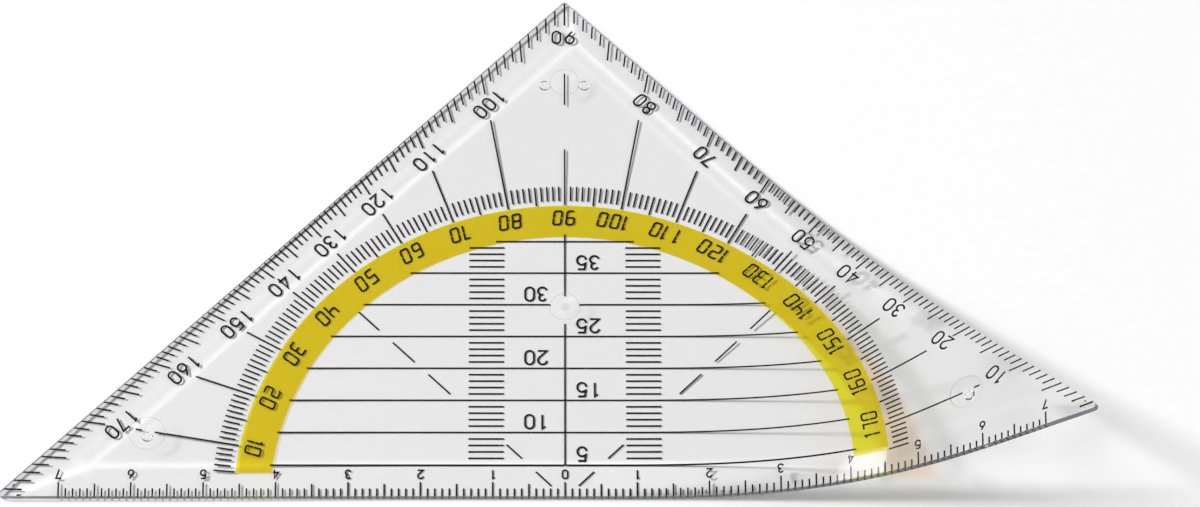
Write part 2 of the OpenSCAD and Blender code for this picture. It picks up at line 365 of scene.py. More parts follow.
def yellow_ink():
    # Yellow screen-printing ink: a glaze that filters the light, so it is deep golden where the
    # plate lies on the table and lemon where it is lifted, with a little body colour of its own.
    material, tree = empty_material("yellow_screen_ink")
    # Clouds in the film's thickness are about 5 mm wide
    film = noise(tree, 5, Detail=3)
    # Colour of the light that one of the film's two faces lets through
    tint = mixed(tree, film, linear("#f8f582"), linear("#faf88c"))
    # The ink scatters what a lamp sends through it, so it casts a paler, beige light
    cast_ray = add_node(tree, "ShaderNodeLightPath").outputs["Is Shadow Ray"]
    glaze = see_through(tree, mixed(tree, cast_ray, tint, linear("#fae9d6")))
    ink = principled(
        tree,
        {"Base Color": linear("#f2ee27"), "Roughness": 0.5, "Specular IOR Level": 0.05},
    )
    finished(tree, mixed_shader(tree, 0.05, glaze, ink))
    return material


def white_board():
    # Smooth white board under the plate: matt, with a barely visible fibre.
    material, tree = empty_material("matt_white_board")
    # Fibres are about 2 mm long
    tone = mixed(tree, noise(tree, 2, Detail=3), linear("#f6f6f6"), linear("#f9f9f9"))
    board = principled(tree, {"Base Color": tone, "Roughness": 0.9, "Specular IOR Level": 0.1})
    finished(tree, board)
    return material


FLEX_SIZES = {
    "Flex start": FLEX_START * MM,
    "Flex run": FLEX_RUN * MM,
    "Flex tilt": math.radians(FLEX_TILT),
    "Flex skew": math.radians(FLEX_SKEW),
}


def geometry_tree(name, sizes):
    """Geometry tree with an input for each size, and what its inputs give."""
    tree = bpy.data.node_groups.new(name, "GeometryNodeTree")
    tree.interface.new_socket("Geometry", in_out="INPUT", socket_type="NodeSocketGeometry")
    for size in sizes:
        tree.interface.new_socket(size, in_out="INPUT", socket_type="NodeSocketFloat")
    tree.interface.new_socket("Geometry", in_out="OUTPUT", socket_type="NodeSocketGeometry")
    return tree, add_node(tree, "NodeGroupInput").outputs


def set_position(tree, geometry, position):
    inputs = {"Geometry": geometry, "Position": position}
    return add_node(tree, "GeometryNodeSetPosition", inputs).outputs["Geometry"]


def flex_group():
    """Node group that lays flat geometry on the flexed plate; Z is the height over the underside."""
    tree, given = geometry_tree("flexed_plate", FLEX_SIZES)
    start, skew = given["Flex start"], given["Flex skew"]
    flex_end = maths(tree, "ADD", start, given["Flex run"])

    def tilt_at(distance):
        return add_node(
            tree,
            "ShaderNodeMapRange",
            {
                "Value": distance,
                "From Min": start,
                "From Max": flex_end,
                "To Max": given["Flex tilt"],
            },
            interpolation_type="SMOOTHSTEP",
        ).outputs["Result"]

    def turned(vector, angle):
        inputs = {"Vector": vector, "Angle": angle}
        return add_node(tree, "ShaderNodeVectorRotate", inputs, rotation_type="Z_AXIS").outputs[0]

    # The plate's section: a line of short steps, each turned up by the tilt in its middle
    step = 0.25 * MM
    steps = 420
    line = add_node(tree, "GeometryNodeMeshLine", {"Count": steps, "Offset": (step, 0, 0)})
    index = add_node(tree, "GeometryNodeInputIndex").outputs[0]
    step_start = maths(tree, "MULTIPLY_ADD", index, step, start)
    step_tilt = tilt_at(maths(tree, "ADD", step_start, step / 2))
    heading = combined(
        tree, X=maths(tree, "COSINE", step_tilt), Z=maths(tree, "SINE", step_tilt)
    )
    stride = add_node(
        tree, "ShaderNodeVectorMath", {0: heading, "Scale": step}, operation="SCALE"
    ).outputs[0]
    walked = add_node(
        tree, "GeometryNodeAccumulateField", {"Value": stride}, data_type="FLOAT_VECTOR"
    ).outputs["Trailing"]
    bent_line = set_position(tree, line.outputs["Mesh"], walked)
    section = add_node(tree, "GeometryNodeMeshToCurve", {"Mesh": bent_line}).outputs["Curve"]

    # A point's distance along the bend, its distance across it and its height
    position = add_node(tree, "GeometryNodeInputPosition").outputs[0]
    part = separated(tree, turned(position, skew))
    beyond = maths(tree, "SUBTRACT", part["X"], start)
    sample = add_node(
        tree,
        "GeometryNodeSampleCurve",
        {"Curves": section, "Length": maths(tree, "MAXIMUM", beyond, 0.0)},
        mode="LENGTH",
        use_all_curves=True,
    )
    reached = separated(tree, sample.outputs["Position"])
    before = maths(tree, "MINIMUM", part["X"], start)
    reach = maths(tree, "ADD", before, reached["X"])
    tilt = tilt_at(part["X"])
    lean = maths(tree, "MULTIPLY", part["Z"], maths(tree, "SINE", tilt))
    bent = combined(
        tree,
        X=maths(tree, "SUBTRACT", reach, lean),
        Y=part["Y"],
        Z=maths(tree, "MULTIPLY_ADD", part["Z"], maths(tree, "COSINE", tilt), reached["Z"]),
    )
    laid = turned(bent, maths(tree, "MULTIPLY", skew, -1.0))
    placed = set_position(tree, given["Geometry"], laid)
    add_node(tree, "NodeGroupOutput", {"Geometry": placed})
    return tree


def flexed_tree(name, material, flex, shape=None, sizes=(), wall_material=None):
    """Tree that lays an object on the flexed plate, after shape has turned it into what is laid."""
    tree, given = geometry_tree(name, (*FLEX_SIZES, *sizes))
    flat = shape(tree, given) if shape else given["Geometry"]
    laid = add_node(
        tree,
        "GeometryNodeGroup",
        {"Geometry": flat, **{size: given[size] for size in FLEX_SIZES}},
        node_tree=flex,
    )
    whole = add_node(tree, "GeometryNodeRealizeInstances", {"Geometry": laid.outputs["Geometry"]})
    dressed = add_node(
        tree,
        "GeometryNodeSetMaterial",
        {"Geometry": whole.outputs["Geometry"], "Material": material},
    )
    if wall_material:
        wall = named(tree, "wall", "BOOLEAN")
        dressed = add_node(
            tree,
            "GeometryNodeSetMaterial",
            {
                "Geometry": dressed.outputs["Geometry"],
                "Selection": wall,
                "Material": wall_material,
            },
        )
    add_node(tree, "NodeGroupOutput", {"Geometry": dressed.outputs["Geometry"]})
    return tree


def named(tree, name, data_type):
    """What the geometry stores under a name."""
    node = add_node(
        tree, "GeometryNodeInputNamedAttribute", {"Name": name}, data_type=data_type
    )
    return node.outputs["Attribute"]


def built(name, mesh, tree, sizes):
    """Piece made by a tree from a flat mesh, as a plain mesh at the origin."""
    source = bpy.data.objects.new(name + "_flat", mesh)
    bpy.context.scene.collection.objects.link(source)
    modifier = source.modifiers.new("shape", "NODES")
    modifier.node_group = tree
    for item in tree.interface.items_tree:
        if item.name in sizes:
            modifier[item.identifier] = sizes[item.name]
    graph = bpy.context.evaluated_depsgraph_get()
    made = bpy.data.meshes.new_from_object(source.evaluated_get(graph), depsgraph=graph)
    made.name = name
    bpy.data.objects.remove(source)
    piece = bpy.data.objects.new(name, made)
    bpy.context.scene.collection.objects.link(piece)
    return piece


def flat_mesh(name, points, faces):
    """Mesh from points in millimetres."""
    mesh = bpy.data.meshes.new(name)
    mesh.from_pydata([Vector(p) * MM for p in points], [], faces)
    mesh.update()
    return mesh


def store(mesh, name, values, kind="FLOAT", domain="POINT"):
    """Keep a value for each point or face of a mesh under a name."""
    mesh.attributes.new(name, kind, domain).data.foreach_set("value", values)


def polar(r, angle):
    return Vector((r * math.cos(math.radians(angle)), r * math.sin(math.radians(angle))))


def circle(spot, r, steps=40):
    return [Vector(spot) + polar(r, 360 * k / steps) for k in range(steps)]


def plate_outline():
    """Points round the plate, counter-clockwise, with the corners rounded."""
    corners = [Vector((-HALF_EDGE, 0)), Vector((HALF_EDGE, 0)), Vector((0, HALF_EDGE))]
    # Directions that each corner's rounding faces at its start and end
    faces = [(135, 270), (-90, 45), (45, 135)]
    corner_steps = 8
    edge_steps = (130, 92, 92)
    arcs = []
    for corner, (first, last) in zip(corners, faces):
        centre = corner + (INNER_CENTRE - corner) * CORNER_R / INNER_R
        turns = [first + (last - first) * k / corner_steps for k in range(corner_steps + 1)]
        arcs.append([centre + polar(CORNER_R, turn) for turn in turns])
    points = []
    for i, steps in enumerate(edge_steps):
        start, end = arcs[i][-1], arcs[(i + 1) % 3][0]
        points += arcs[i] + [start.lerp(end, k / steps) for k in range(1, steps)]
    return points


OUTLINE = plate_outline()


def ring(base, left=None, right=None):
    """The outline drawn in by an inset from the measuring edge, and others from the legs."""
    left, right = (base if i is None else i for i in (left, right))
    leg = ROOT2 * HALF_EDGE
    mean = (2 * HALF_EDGE * base + leg * left + leg * right) / (2 * HALF_EDGE + 2 * leg)
    size = 1 - mean / INNER_R
    centre = Vector(((left - right) / ROOT2, base + size * INNER_R))
    return [centre + (p - INNER_CENTRE) * size for p in OUTLINE]


def edge_distances(p):
    """Distances of a point from the measuring edge, the left leg and the right leg."""
    return [p[1]] + [(HALF_EDGE + side * p[0] - p[1]) / ROOT2 for side in (1, -1)]


def inset_of(p):
    """Distance of a point from the nearest edge."""
    return min(edge_distances(p))


def ramp(x, r):
    """A line that starts to rise at 0, rounded within r of it."""
    return max(x, 0) if abs(x) > r else (x + r) ** 2 / (4 * r)


def share(x, low, high):
    """How far x is on the way from low to high, from 0 to 1."""
    return min(max((x - low) / (high - low), 0), 1)


def bump(x, width):
    """1 at 0, falling off to both sides."""
    return math.exp(-((x / width) ** 2))


def top_height(p):
    """Height of the top face: the field, the rim that slopes from it, and the shallow marks."""
    height = FIELD_T - RIM_SLOPE * ramp(RIM_W - inset_of(p), CREASE_R)
    for spot, r in MARKS:
        away = (Vector(p) - Vector(spot)).length
        sunk = FIELD_T - MARK_DEPTH * share(away, r + MARK_EDGE, r - MARK_EDGE)
        if spot == GATE:
            sunk += MARK_DEPTH / 2 * share(away, STUB_R + MARK_EDGE, STUB_R - MARK_EDGE)
        height = min(height, sunk)
    return height


# Section of a foot: distance from its middle, and level
FOOT_SECTION = [
    (0, -FOOT_H),
    (FOOT_R - 0.3, -FOOT_H),
    (FOOT_R - 0.17, -FOOT_H + 0.04),
    (FOOT_R - 0.09, -FOOT_H + 0.14),
    (FOOT_R - 0.03, -0.2),
    (FOOT_R + 0.03, -0.09),
    (FOOT_R + 0.17, UNDERSIDE),
]


def under_height(p):
    """Level of the underside, with the feet standing out of it."""
    away = min((Vector(p) - Vector(foot)).length for foot in FEET)
    for (r, low), (r_next, high) in zip(FOOT_SECTION, FOOT_SECTION[1:]):
        if away <= r_next:
            return low + (high - low) * share(away, r, r_next)
    return UNDERSIDE


def top_gain(p):
    """Painted light passing the top face: little at the edges, and less on the far side of a round
    mark than on the side of the key lamp."""
    base, left, right = edge_distances(p)
    lifted = share(p[0], FLEX_START, SHADE_GROWN)
    reach = EDGE_SHADE + (FLEXED_SHADE - EDGE_SHADE) * lifted * share(p[0], *SHADE_NARROWS)
    shade = max(share(base, reach, SHADE_CORE * reach), lifted * share(right, RIGHT_SHADE, 0))
    light = 1
    for spot, r in MARKS:
        away = Vector(p[:2]) - Vector(spot)
        light += MARK_GAIN * bump(away.length - r, MARK_GLOW) * away.normalized().dot(KEY_SIDE)
    return light * (1 - SHADE_DEPTH * shade)


def hip_lines():
    """Ends of the pale lines under the hips: near a tip, and at the pale line round the field."""
    base, left, right = PALE_LINE
    tip_u, tip_v = HALF_EDGE - TIP_OFF[0], TIP_OFF[1]
    apex = ((left - right) / ROOT2, HALF_EDGE - (left + right) / ROOT2)
    return [
        (Vector((-tip_u, tip_v)), Vector((base + left * ROOT2 - HALF_EDGE, base))),
        (Vector((tip_u, tip_v)), Vector((HALF_EDGE - base - right * ROOT2, base))),
        (Vector((0, HALF_EDGE - APEX_OFF)), Vector(apex)),
    ]


HIPS = hip_lines()


def under_gain(p):
    """Painted light passing the underside: more in the pale lines, less along the left leg's edge.
    """
    insets = edge_distances(p)
    p = Vector(p[:2])
    off_line = min(inset - line for inset, line in zip(insets, PALE_LINE))
    off_faint = min(inset - line for inset, line in zip(insets[1:], FAINT_LINE[1:]))
    pale = max(PALE_GAIN * bump(off_line, PALE_WIDTH), FAINT_GAIN * bump(off_faint, PALE_WIDTH))
    for outer, inner in HIPS:
        near, part = intersect_point_line(p, outer, inner)
        near = outer if part < 0 else inner if part > 1 else near
        pale = max(pale, HIP_GAIN * bump((p - near).length, HIP_WIDTH))
    dark = LEFT_DEPTH * share(insets[1], LEFT_SHADE + FLAT, LEFT_SHADE - FLAT)
    return (1 + pale) * (1 - dark)


def gain(p):
    """Light that passes the plastic at a point, with light and shade painted into it."""
    if p[2] >= EDGE_T - EDGE_R:
        return top_gain(p)
    if p[2] <= UNDERSIDE:
        return under_gain(p)
    return WALL_GAIN if p[2] < WALL_SHADE else 1


def clarity(p):
    """Painted shade on the measuring edge's wall and on the steps round the marks, and the dullness
    of the gate's rough stub."""
    base, left, right = edge_distances(p)
    if min(base, left, right) < EDGE_R / 2:
        # Painted shade on the walls, easing on the legs' walls and towards the flexed tip
        clear = max(TIP_SHADE_EASE * share(p[0], *TIP_SHADE_EASES), share(min(left, right), EDGE_R, 0))
        return WALL_PAINTED_TONE + (1 - WALL_PAINTED_TONE) * clear
    if p[2] < EDGE_T:
        return 1
    for spot, r in MARKS:
        away = Vector(p[:2]) - Vector(spot)
        # Painted shade on a mark's step
        if abs(away.length - r) < STEP_REACH:
            return MARK_STEP_PAINTED_TONE
        if spot == GATE and away.length < STUB_R + STEP_REACH:
            angle = math.atan2(away.y, away.x)
            return STUB_CLARITY + STUB_UNEVEN * math.sin(STUB_LOBES * angle)
    return 1


def sheen(p):
    """Painted mask on the reflections: on the flexed part of the measuring edge's rim, they show
    only in the glare's patch."""
    if p[2] < EDGE_T or p[0] < FLEX_START or p[1] > RIM_W + CREASE_R:
        return 1
    return share(p[1], *GLARE_ENDS) * share(p[0] - GLARE_LEAN * p[1], *GLARE_STARTS)


def along(p):
    """Place along the millimetre scale, out of its reach on the legs' walls."""
    return p[0] if p[1] < EDGE_R else 2 * HALF_EDGE


def filled(loops, spots, clear):
    """Flat triangles inside the first loop that keep all loops as edges, with an even spread of
    points that are clear of the edges and of the spots."""
    points, edges = [], []
    for loop in loops:
        first = len(points)
        points += loop
        edges += [(first + k, first + (k + 1) % len(loop)) for k in range(len(loop))]
    outer = list(range(len(loops[0])))
    row_step = SPACING * math.sqrt(3) / 2
    reach = int(HALF_EDGE / SPACING)
    for row in range(int(HALF_EDGE / row_step) + 1):
        for column in range(-reach, reach + 1):
            p = Vector(((column + row % 2 / 2) * SPACING, row * row_step))
            if inset_of(p) > clear and all((p - Vector(s)).length > r for s, r in spots):
                points.append(p)
    points += [Vector(s) for s, r in spots]
    found = delaunay_2d_cdt(points, edges, [outer], 1, 1e-5)
    return found[0], found[2]


def top_face():
    """Flat points and triangles of the field, the ridge round it and the marks."""
    loops = [ring(inset) for inset in CREASE + [CREASE[-1] + FLAT]]
    for spot, r in MARKS + [(GATE, STUB_R)]:
        for off in (MARK_EDGE + FLAT, MARK_EDGE, 0, -MARK_EDGE, -MARK_EDGE - FLAT):
            loops.append(circle(spot, r + off))
    for spot, r in MARKS:
        loops += [circle(spot, r - MARK_RING), circle(spot, r + MARK_RING)]
    wide = [(spot, r + 2 * MARK_RING) for spot, r in MARKS]
    return filled(loops, wide, CREASE[-1] + SPACING / 2)


def under_face():
    """Flat points and triangles of the underside, with rows along the pale lines and the feet."""
    loops = [ring(UNDER_INSET)]
    for off in (-2, -1, 0, 1, 2):
        for lines in (PALE_LINE, FAINT_LINE):
            loops.append(ring(*(line + off * PALE_WIDTH for line in lines)))
    for outer, inner in HIPS:
        ahead = (inner - outer).normalized()
        across = Vector((-ahead.y, ahead.x)) * HIP_WIDTH
        # A hip's rows stop short of those of the line round the field
        stop = inner - ahead * PALE_WIDTH * 6
        for off in (1, 2):
            side = across * off
            loops.append([outer - side, stop - side, stop + side, outer + side])
        # A sliver along its middle
        loops.append([outer, outer.lerp(stop, 0.5), stop, stop + across * 0.5])
    foot_steps, foot_room = 28, 0.5
    for foot in FEET:
        loops += [circle(foot, r, foot_steps) for r, level in FOOT_SECTION[1:]]
    wide = [(foot, FOOT_R + foot_room) for foot in FEET]
    return filled(loops, wide, UNDER_INSET + SPACING / 2)


def edge_rows():
    """Rows from the underside round the wall and up the rim: inset and height."""
    turn = [polar(EDGE_R, 30 * k) for k in range(4)]
    insets = (UNDER_INSET, LEFT_SHADE + FLAT, LEFT_SHADE - FLAT, EDGE_R + FLAT)
    rows = [(inset, UNDERSIDE) for inset in insets]
    rows += [(EDGE_R - t.x, UNDERSIDE + EDGE_R - t.y) for t in reversed(turn)]
    low, high = UNDERSIDE + EDGE_R + FLAT, EDGE_T - EDGE_R - FLAT
    rows += [(0, height) for height in (low, WALL_SHADE - FLAT, WALL_SHADE + FLAT, high)]
    rows += [(EDGE_R - t.x, EDGE_T - EDGE_R + t.y) for t in turn]
    insets = (EDGE_R + FLAT, EDGE_SHADE, 0.7, 1.2, 1.6, 2.4, 3.2, FLEXED_SHADE)
    insets += (CREASE[0] - FLAT, CREASE[0])
    return rows + [(inset, EDGE_T + RIM_SLOPE * inset) for inset in insets]


def plate_mesh():
    """The moulding, flat, with what its materials read from its points."""
    top, top_faces = top_face()
    under, under_faces = under_face()
    points = [(*p, top_height(p)) for p in top]
    faces = [tuple(face) for face in top_faces]
    first = len(points)
    points += [(*p, under_height(p)) for p in under]
    faces += [tuple(first + k for k in reversed(face)) for face in under_faces]

    rows = edge_rows()
    count = len(OUTLINE)
    first = len(points)
    wall = [False] * len(faces)
    for inset, height in rows:
        points += [(*p, height) for p in ring(inset)]
    for i in range(len(rows) - 1):
        a, b = first + i * count, first + (i + 1) * count
        for k in range(count):
            n = (k + 1) % count
            faces.append((a + k, a + n, b + n, b + k))
        wall += [rows[i][0] < EDGE_R and rows[i + 1][0] < EDGE_R] * count
    mesh = flat_mesh("clear_plate_flat", points, faces)
    store(mesh, "wall", wall, "BOOLEAN", "FACE")
    stored = {"gain": gain, "clarity": clarity, "sheen": sheen, "along": along}
    for name, value in stored.items():
        store(mesh, name, [value(p) for p in points])
    return mesh


def welded(mesh, smooth):
    """Join a mesh's coinciding points and turn its faces outwards."""
    shape = bmesh.new()
    shape.from_mesh(mesh)
    bmesh.ops.remove_doubles(shape, verts=shape.verts, dist=0.002 * MM)
    bmesh.ops.recalc_face_normals(shape, faces=shape.faces)
    for face in shape.faces:
        face.smooth = smooth
    shape.to_mesh(mesh)
    shape.free()
    return mesh


def band_mesh():
    """The yellow band, flat: a half ring whose ends are cut level with the measuring edge."""
    rows, steps = 5, 130
    points, faces = [], []
    for level in (YELLOW_TOP, YELLOW_TOP - YELLOW_T):
        for i in range(steps + 1):
            for j in range(rows + 1):
                r = BAND_OUTER + (BAND_INNER - BAND_OUTER) * j / rows
                end = math.degrees(math.asin(BAND_BASE / r))
                points.append((*polar(r, end + (180 - 2 * end) * i / steps), level))
    wide = rows + 1
    under = wide * (steps + 1)
    for i in range(steps):
        for j in range(rows):
            a = i * wide + j
            cell = (a, a + wide, a + wide + 1, a + 1)
            faces += [cell, tuple(under + k for k in reversed(cell))]
    rim = [i * wide for i in range(steps + 1)]
    rim += [steps * wide + j for j in range(1, wide)]
    rim += [i * wide + rows for i in range(steps - 1, -1, -1)]
    rim += [j for j in range(rows - 1, 0, -1)]
    for a, b in zip(rim, rim[1:] + rim[:1]):
        faces.append((b, a, under + a, under + b))
    return flat_mesh("yellow_band_flat", points, faces)


def arc(x, y, rx, ry, first, last, steps=16):
    """Points on an ellipse from one angle to another, in degrees."""
    return [
        (x + rx * math.cos(math.radians(a)), y + ry * math.sin(math.radians(a)))
        for a in (first + (last - first) * k / steps for k in range(steps + 1))
    ]


def upside_down(strokes):
    return [([(-x, 1 - y) for x, y in points], closed) for points, closed in strokes]


def round_digits():
    """Pen strokes of the round digits, one unit high: points, and whether the stroke is closed."""
    six = [([(0.16, 1)] + arc(0, 0.31, 0.29, 0.31, 150, 508, 26), False)]
    return [
        [(arc(0, 0.7, 0.29, 0.3, 0, 180) + arc(0, 0.3, 0.29, 0.3, 180, 360), True)],
        [([(-0.19, 0.85), (0, 1), (0, 0)], False)],
        [(arc(-0.01, 0.7, 0.295, 0.3, 172, -38) + [(-0.3, 0), (0.3, 0)], False)],
        [
            (arc(0, 0.77, 0.215, 0.23, 165, -82) + [(-0.07, 0.54)], False),
            (arc(0, 0.28, 0.29, 0.28, 76, -166), False),
        ],
        [([(0.14, 0), (0.14, 1), (-0.3, 0.27), (0.3, 0.27)], False)],
        [([(0.25, 1), (-0.2, 1), (-0.26, 0.56)] + arc(0, 0.333, 0.3, 0.333, 128, -170), False)],
        six,
        [([(-0.29, 1), (0.29, 1), (-0.08, 0)], False)],
        [
            (arc(0, 0.77, 0.225, 0.23, 0, 345, 23), True),
            (arc(0, 0.275, 0.29, 0.275, 0, 345, 23), True),
        ],
        upside_down(six),
    ]


def segment_digits():
    """Pen strokes of the band's digits: straight segments with cut corners, leaning a little."""
    # Half a digit's width, a corner's cut, half a gap between segments, and the lean
    w, c, g = 0.255, 0.09, 0.025
    lean = 0.12
    upper = [(-w, 0.5 + g), (-w, 1 - c), (-w + c, 1), (w - c, 1), (w, 1 - c), (w, 0.5 + g)]
    six = [(0.7 * w, 1), (-w + c, 1), (-w, 1 - c), (-w, c), (-w + c, 0), (w - c, 0)]
    six += [(w, c), (w, 0.5 - c), (w - c, 0.5), (-w, 0.5)]
    six = [(six, False)]
    eight = [(-w + c, 0.5), (-w, 0.5 + c), (-w, 1 - c), (-w + c, 1), (w - c, 1), (w, 1 - c)]
    eight = [(eight + [(w, 0.5 + c), (w - c, 0.5)], True)]
    two = [(-w, 0.88), (-w, 1 - c), (-w + c, 1), (w - c, 1), (w, 1 - c), (w, 0.5 + c)]
    two += [(w - c, 0.5), (-w + c, 0.5), (-w, 0.5 - c), (-w, c), (-w + c, 0), (w, 0)]
    three = [(-0.9 * w, 1), (w - c, 1), (w, 1 - c), (w, 0.5 + c), (w - c, 0.5), (-0.4 * w, 0.5)]
    three_below = [(w - c, 0.5), (w, 0.5 - c), (w, c), (w - c, 0), (-0.9 * w, 0)]
    five = [(w, 1), (-w, 1), (-w, 0.5), (w - c, 0.5), (w, 0.5 - c), (w, c), (w - c, 0), (-w, 0)]
    stem = ([(w, 0.5 - g), (w, 0)], False)
    digits = [
        [(upper, False)] + upside_down([(upper, False)]),
        [([(w - 0.16, 0.92), (w, 1), (w, 0.5 + g)], False), stem],
        [(two, False)],
        [(three, False), (three_below, False)],
        [([(-w, 1), (-w, 0.5 + c), (-w + c, 0.5), (w, 0.5)], False), ([(w, 1), (w, 0)], False)],
        [(five, False)],
        six,
        [([(-0.1, 1), (w, 1), (w, 0.5 + g)], False), stem],
        eight + upside_down(eight),
        upside_down(six),
    ]
    return [
        [([(x + lean * (y - 0.5), y) for x, y in points], closed) for points, closed in digit]
        for digit in digits
    ]


def mitre(before, point, after):
    """How much wider a stroke is where it turns, so that its sides stay parallel."""
    first, last = (point - before).normalized(), (after - point).normalized()
    half_turn = first.angle(last, 0) / 2
    return 1 / max(math.cos(half_turn), 0.5)


# The collection of digits has the ten round ones first
FIRST_SEGMENT_DIGIT = 10


def digit_collection():
    """Curves of all digits, round ones first, in a collection for the numerals to pick from."""
    collection = bpy.data.collections.new("digit_strokes")
    bpy.context.scene.collection.children.link(collection)
    for number, strokes in enumerate(round_digits() + segment_digits()):
        curve = bpy.data.curves.new(f"digit_{number:02d}", "CURVE")
        curve.dimensions = "3D"
        for points, closed in strokes:
            places = [Vector((x, y - 0.5, 0)) for x, y in points]
            if closed and (places[0] - places[-1]).length < 1e-4:
                places.pop()
            spline = curve.splines.new("POLY")
            spline.points.add(len(places) - 1)
            spline.use_cyclic_u = closed
            for k, place in enumerate(places):
                spline.points[k].co = (*place, 1)
                if closed or 0 < k < len(places) - 1:
                    after = places[(k + 1) % len(places)]
                    spline.points[k].radius = mitre(places[k - 1], place, after)
        collection.objects.link(bpy.data.objects.new(curve.name, curve))
    return collection


def numeral_shape(collection):
    """Function for flexed_tree that sets digits on points and gives their strokes width and
    thickness."""

    def shape(tree, given):
        digits = add_node(
            tree,
            "GeometryNodeCollectionInfo",
            {"Collection": collection, "Separate Children": True, "Reset Children": True},
        )
        height = given["Digit height"]
        set_out = add_node(
            tree,
            "GeometryNodeInstanceOnPoints",
            {
                "Points": given["Geometry"],
                "Instance": digits.outputs["Instances"],
                "Pick Instance": True,
                "Instance Index": named(tree, "digit", "INT"),
                "Rotation": combined(tree, Z=named(tree, "turn", "FLOAT")),
                "Scale": combined(tree, X=height, Y=height, Z=height),
            },
        )
        strokes = add_node(
            tree, "GeometryNodeRealizeInstances", {"Geometry": set_out.outputs["Instances"]}
        )
        level = add_node(
            tree,
            "GeometryNodeSetCurveNormal",
            {"Curve": strokes.outputs["Geometry"]},
            mode="Z_UP",
        )
        nib = add_node(
            tree,
            "GeometryNodeCurvePrimitiveQuadrilateral",
            {"Width": given["Stroke width"], "Height": given["Ink thickness"]},
        )
        drawn = add_node(
            tree,
            "GeometryNodeCurveToMesh",
            {
                "Curve": level.outputs["Curve"],
                "Profile Curve": nib.outputs["Curve"],
                "Scale": add_node(tree, "GeometryNodeInputRadius").outputs["Radius"],
                "Fill Caps": True,
            },
        )
        # Every face of the ink lies level again, also where a stroke was widened at a turn
        part = separated(tree, add_node(tree, "GeometryNodeInputPosition").outputs[0])
        side = maths(tree, "SIGN", part["Z"])
        thick = maths(tree, "MULTIPLY", side, given["Ink thickness"])
        depth = maths(tree, "MULTIPLY_ADD", thick, 0.5, given["Ink level"])
        flat = combined(tree, X=part["X"], Y=part["Y"], Z=depth)
        return set_position(tree, drawn.outputs["Mesh"], flat)

    return shape


def number_spots(text, centre, up, pitch, first_glyph=0):
    """Place, turn and glyph of each digit of a number whose digits stand along up."""
    up = Vector(up).normalized()
    right = Vector((up.y, -up.x))
    turn = math.atan2(up.y, up.x) - math.pi / 2
    middle = (len(text) - 1) / 2
    return [
        (Vector(centre) + right * (k - middle) * pitch, turn, first_glyph + int(digit))
        for k, digit in enumerate(text)
    ]


def spots_mesh(name, spots):
    """Points that carry the digits' glyphs and turns."""
    places, turns, glyphs = zip(*spots)
    mesh = flat_mesh(name, [(*place, 0) for place in places], [])
    store(mesh, "turn", turns)
    store(mesh, "digit", glyphs, "INT")
    return mesh


# Digits on the edge, the rulings and the apex stand with their tops towards the measuring edge
FACING_EDGE = (0, -1)


def edge_numbers():
    """Centimetres along the measuring edge, read from the right angle's side."""
    number_v, pitch = 3.65, 1
    spots = []
    for k in range(-7, 8):
        spots += number_spots(str(abs(k)), (10 * k, number_v), FACING_EDGE, pitch)
    return spots


def ruling_numbers():
    """Millimetres of the rulings, odd fives on one side of the centre line, tens on the other."""
    above = 1.675
    spots = []
    for v in range(5, 40, 5):
        u, pitch = (3.25, 1.8) if v % 10 else (-4.04, 1.78)
        if v == 5:
            u -= pitch / 2
        spots += number_spots(str(v), (u, v + above), FACING_EDGE, pitch)
    return spots


def leg_numbers():
    """Degrees along the legs, with the digits' tops towards the inside."""
    inset, pitch = 4.4, 1.77
    apex_place, apex_pitch = (-0.2, 73), 1.8
    spots = []
    for n in range(10, 180, 10):
        if n == 90:
            spots += number_spots("90", apex_place, FACING_EDGE, apex_pitch)
            continue
        ray = polar(1, n)
        r = (HALF_EDGE - inset * ROOT2) / (abs(ray.x) + ray.y)
        inward = Vector((1 if n > 90 else -1, -1)).normalized()
        beside = Vector((inward.y, -inward.x))
        shift, sunk = (-0.42, -0.15) if n > 90 else (0.0, -0.62)
        place = ray * r + beside * shift + inward * sunk
        spots += number_spots(str(n), place, inward, pitch)
    return spots


def band_numbers():
    """Degrees on the band, counted from the other end, with the digits' tops towards the zero
    mark."""
    number_r, pitch = 43.8, 1.82
    spots = []
    for n in range(10, 180, 10):
        ray = polar(1, 180 - n)
        beside = Vector((-ray.y, ray.x))
        if n < 80:
            shift = -0.45
        elif n < 100:
            shift = 0.1
        else:
            shift = 0.5 if n in (100, 110, 160, 170) else 0.85
        place = ray * number_r + beside * shift
        spots += number_spots(str(n), place, -ray, pitch, FIRST_SEGMENT_DIGIT)
    return spots


def ride_plate(piece, slot, *nodes):
    """The piece moves with the plate and stands for CAD nodes, which it hides. The slot is not used.
    """
    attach(piece, "root")
    if nodes:
        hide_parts(*nodes)


plastic, plastic_edge = clear_plastic(), clear_plastic_edge()
black, yellow, board = black_ink(), yellow_ink(), white_board()
flex = flex_group()

moulding_tree = flexed_tree("moulding", plastic, flex, wall_material=plastic_edge)
plate = built("clear_plate_moulding", welded(plate_mesh(), True), moulding_tree, FLEX_SIZES)
ride_plate(plate, "clear_plastic", "clear_plate")

band_tree = flexed_tree("band", yellow, flex)
band = built("yellow_band_film", welded(band_mesh(), False), band_tree, FLEX_SIZES)
ride_plate(band, "yellow_print", "yellow_band")

# The black lines of the CAD are kept and inked
for name, node in frame["nodes"].items():
    if name not in ("clear_plate", "yellow_band"):
        for slot in node.material_slots:
            slot.material = black

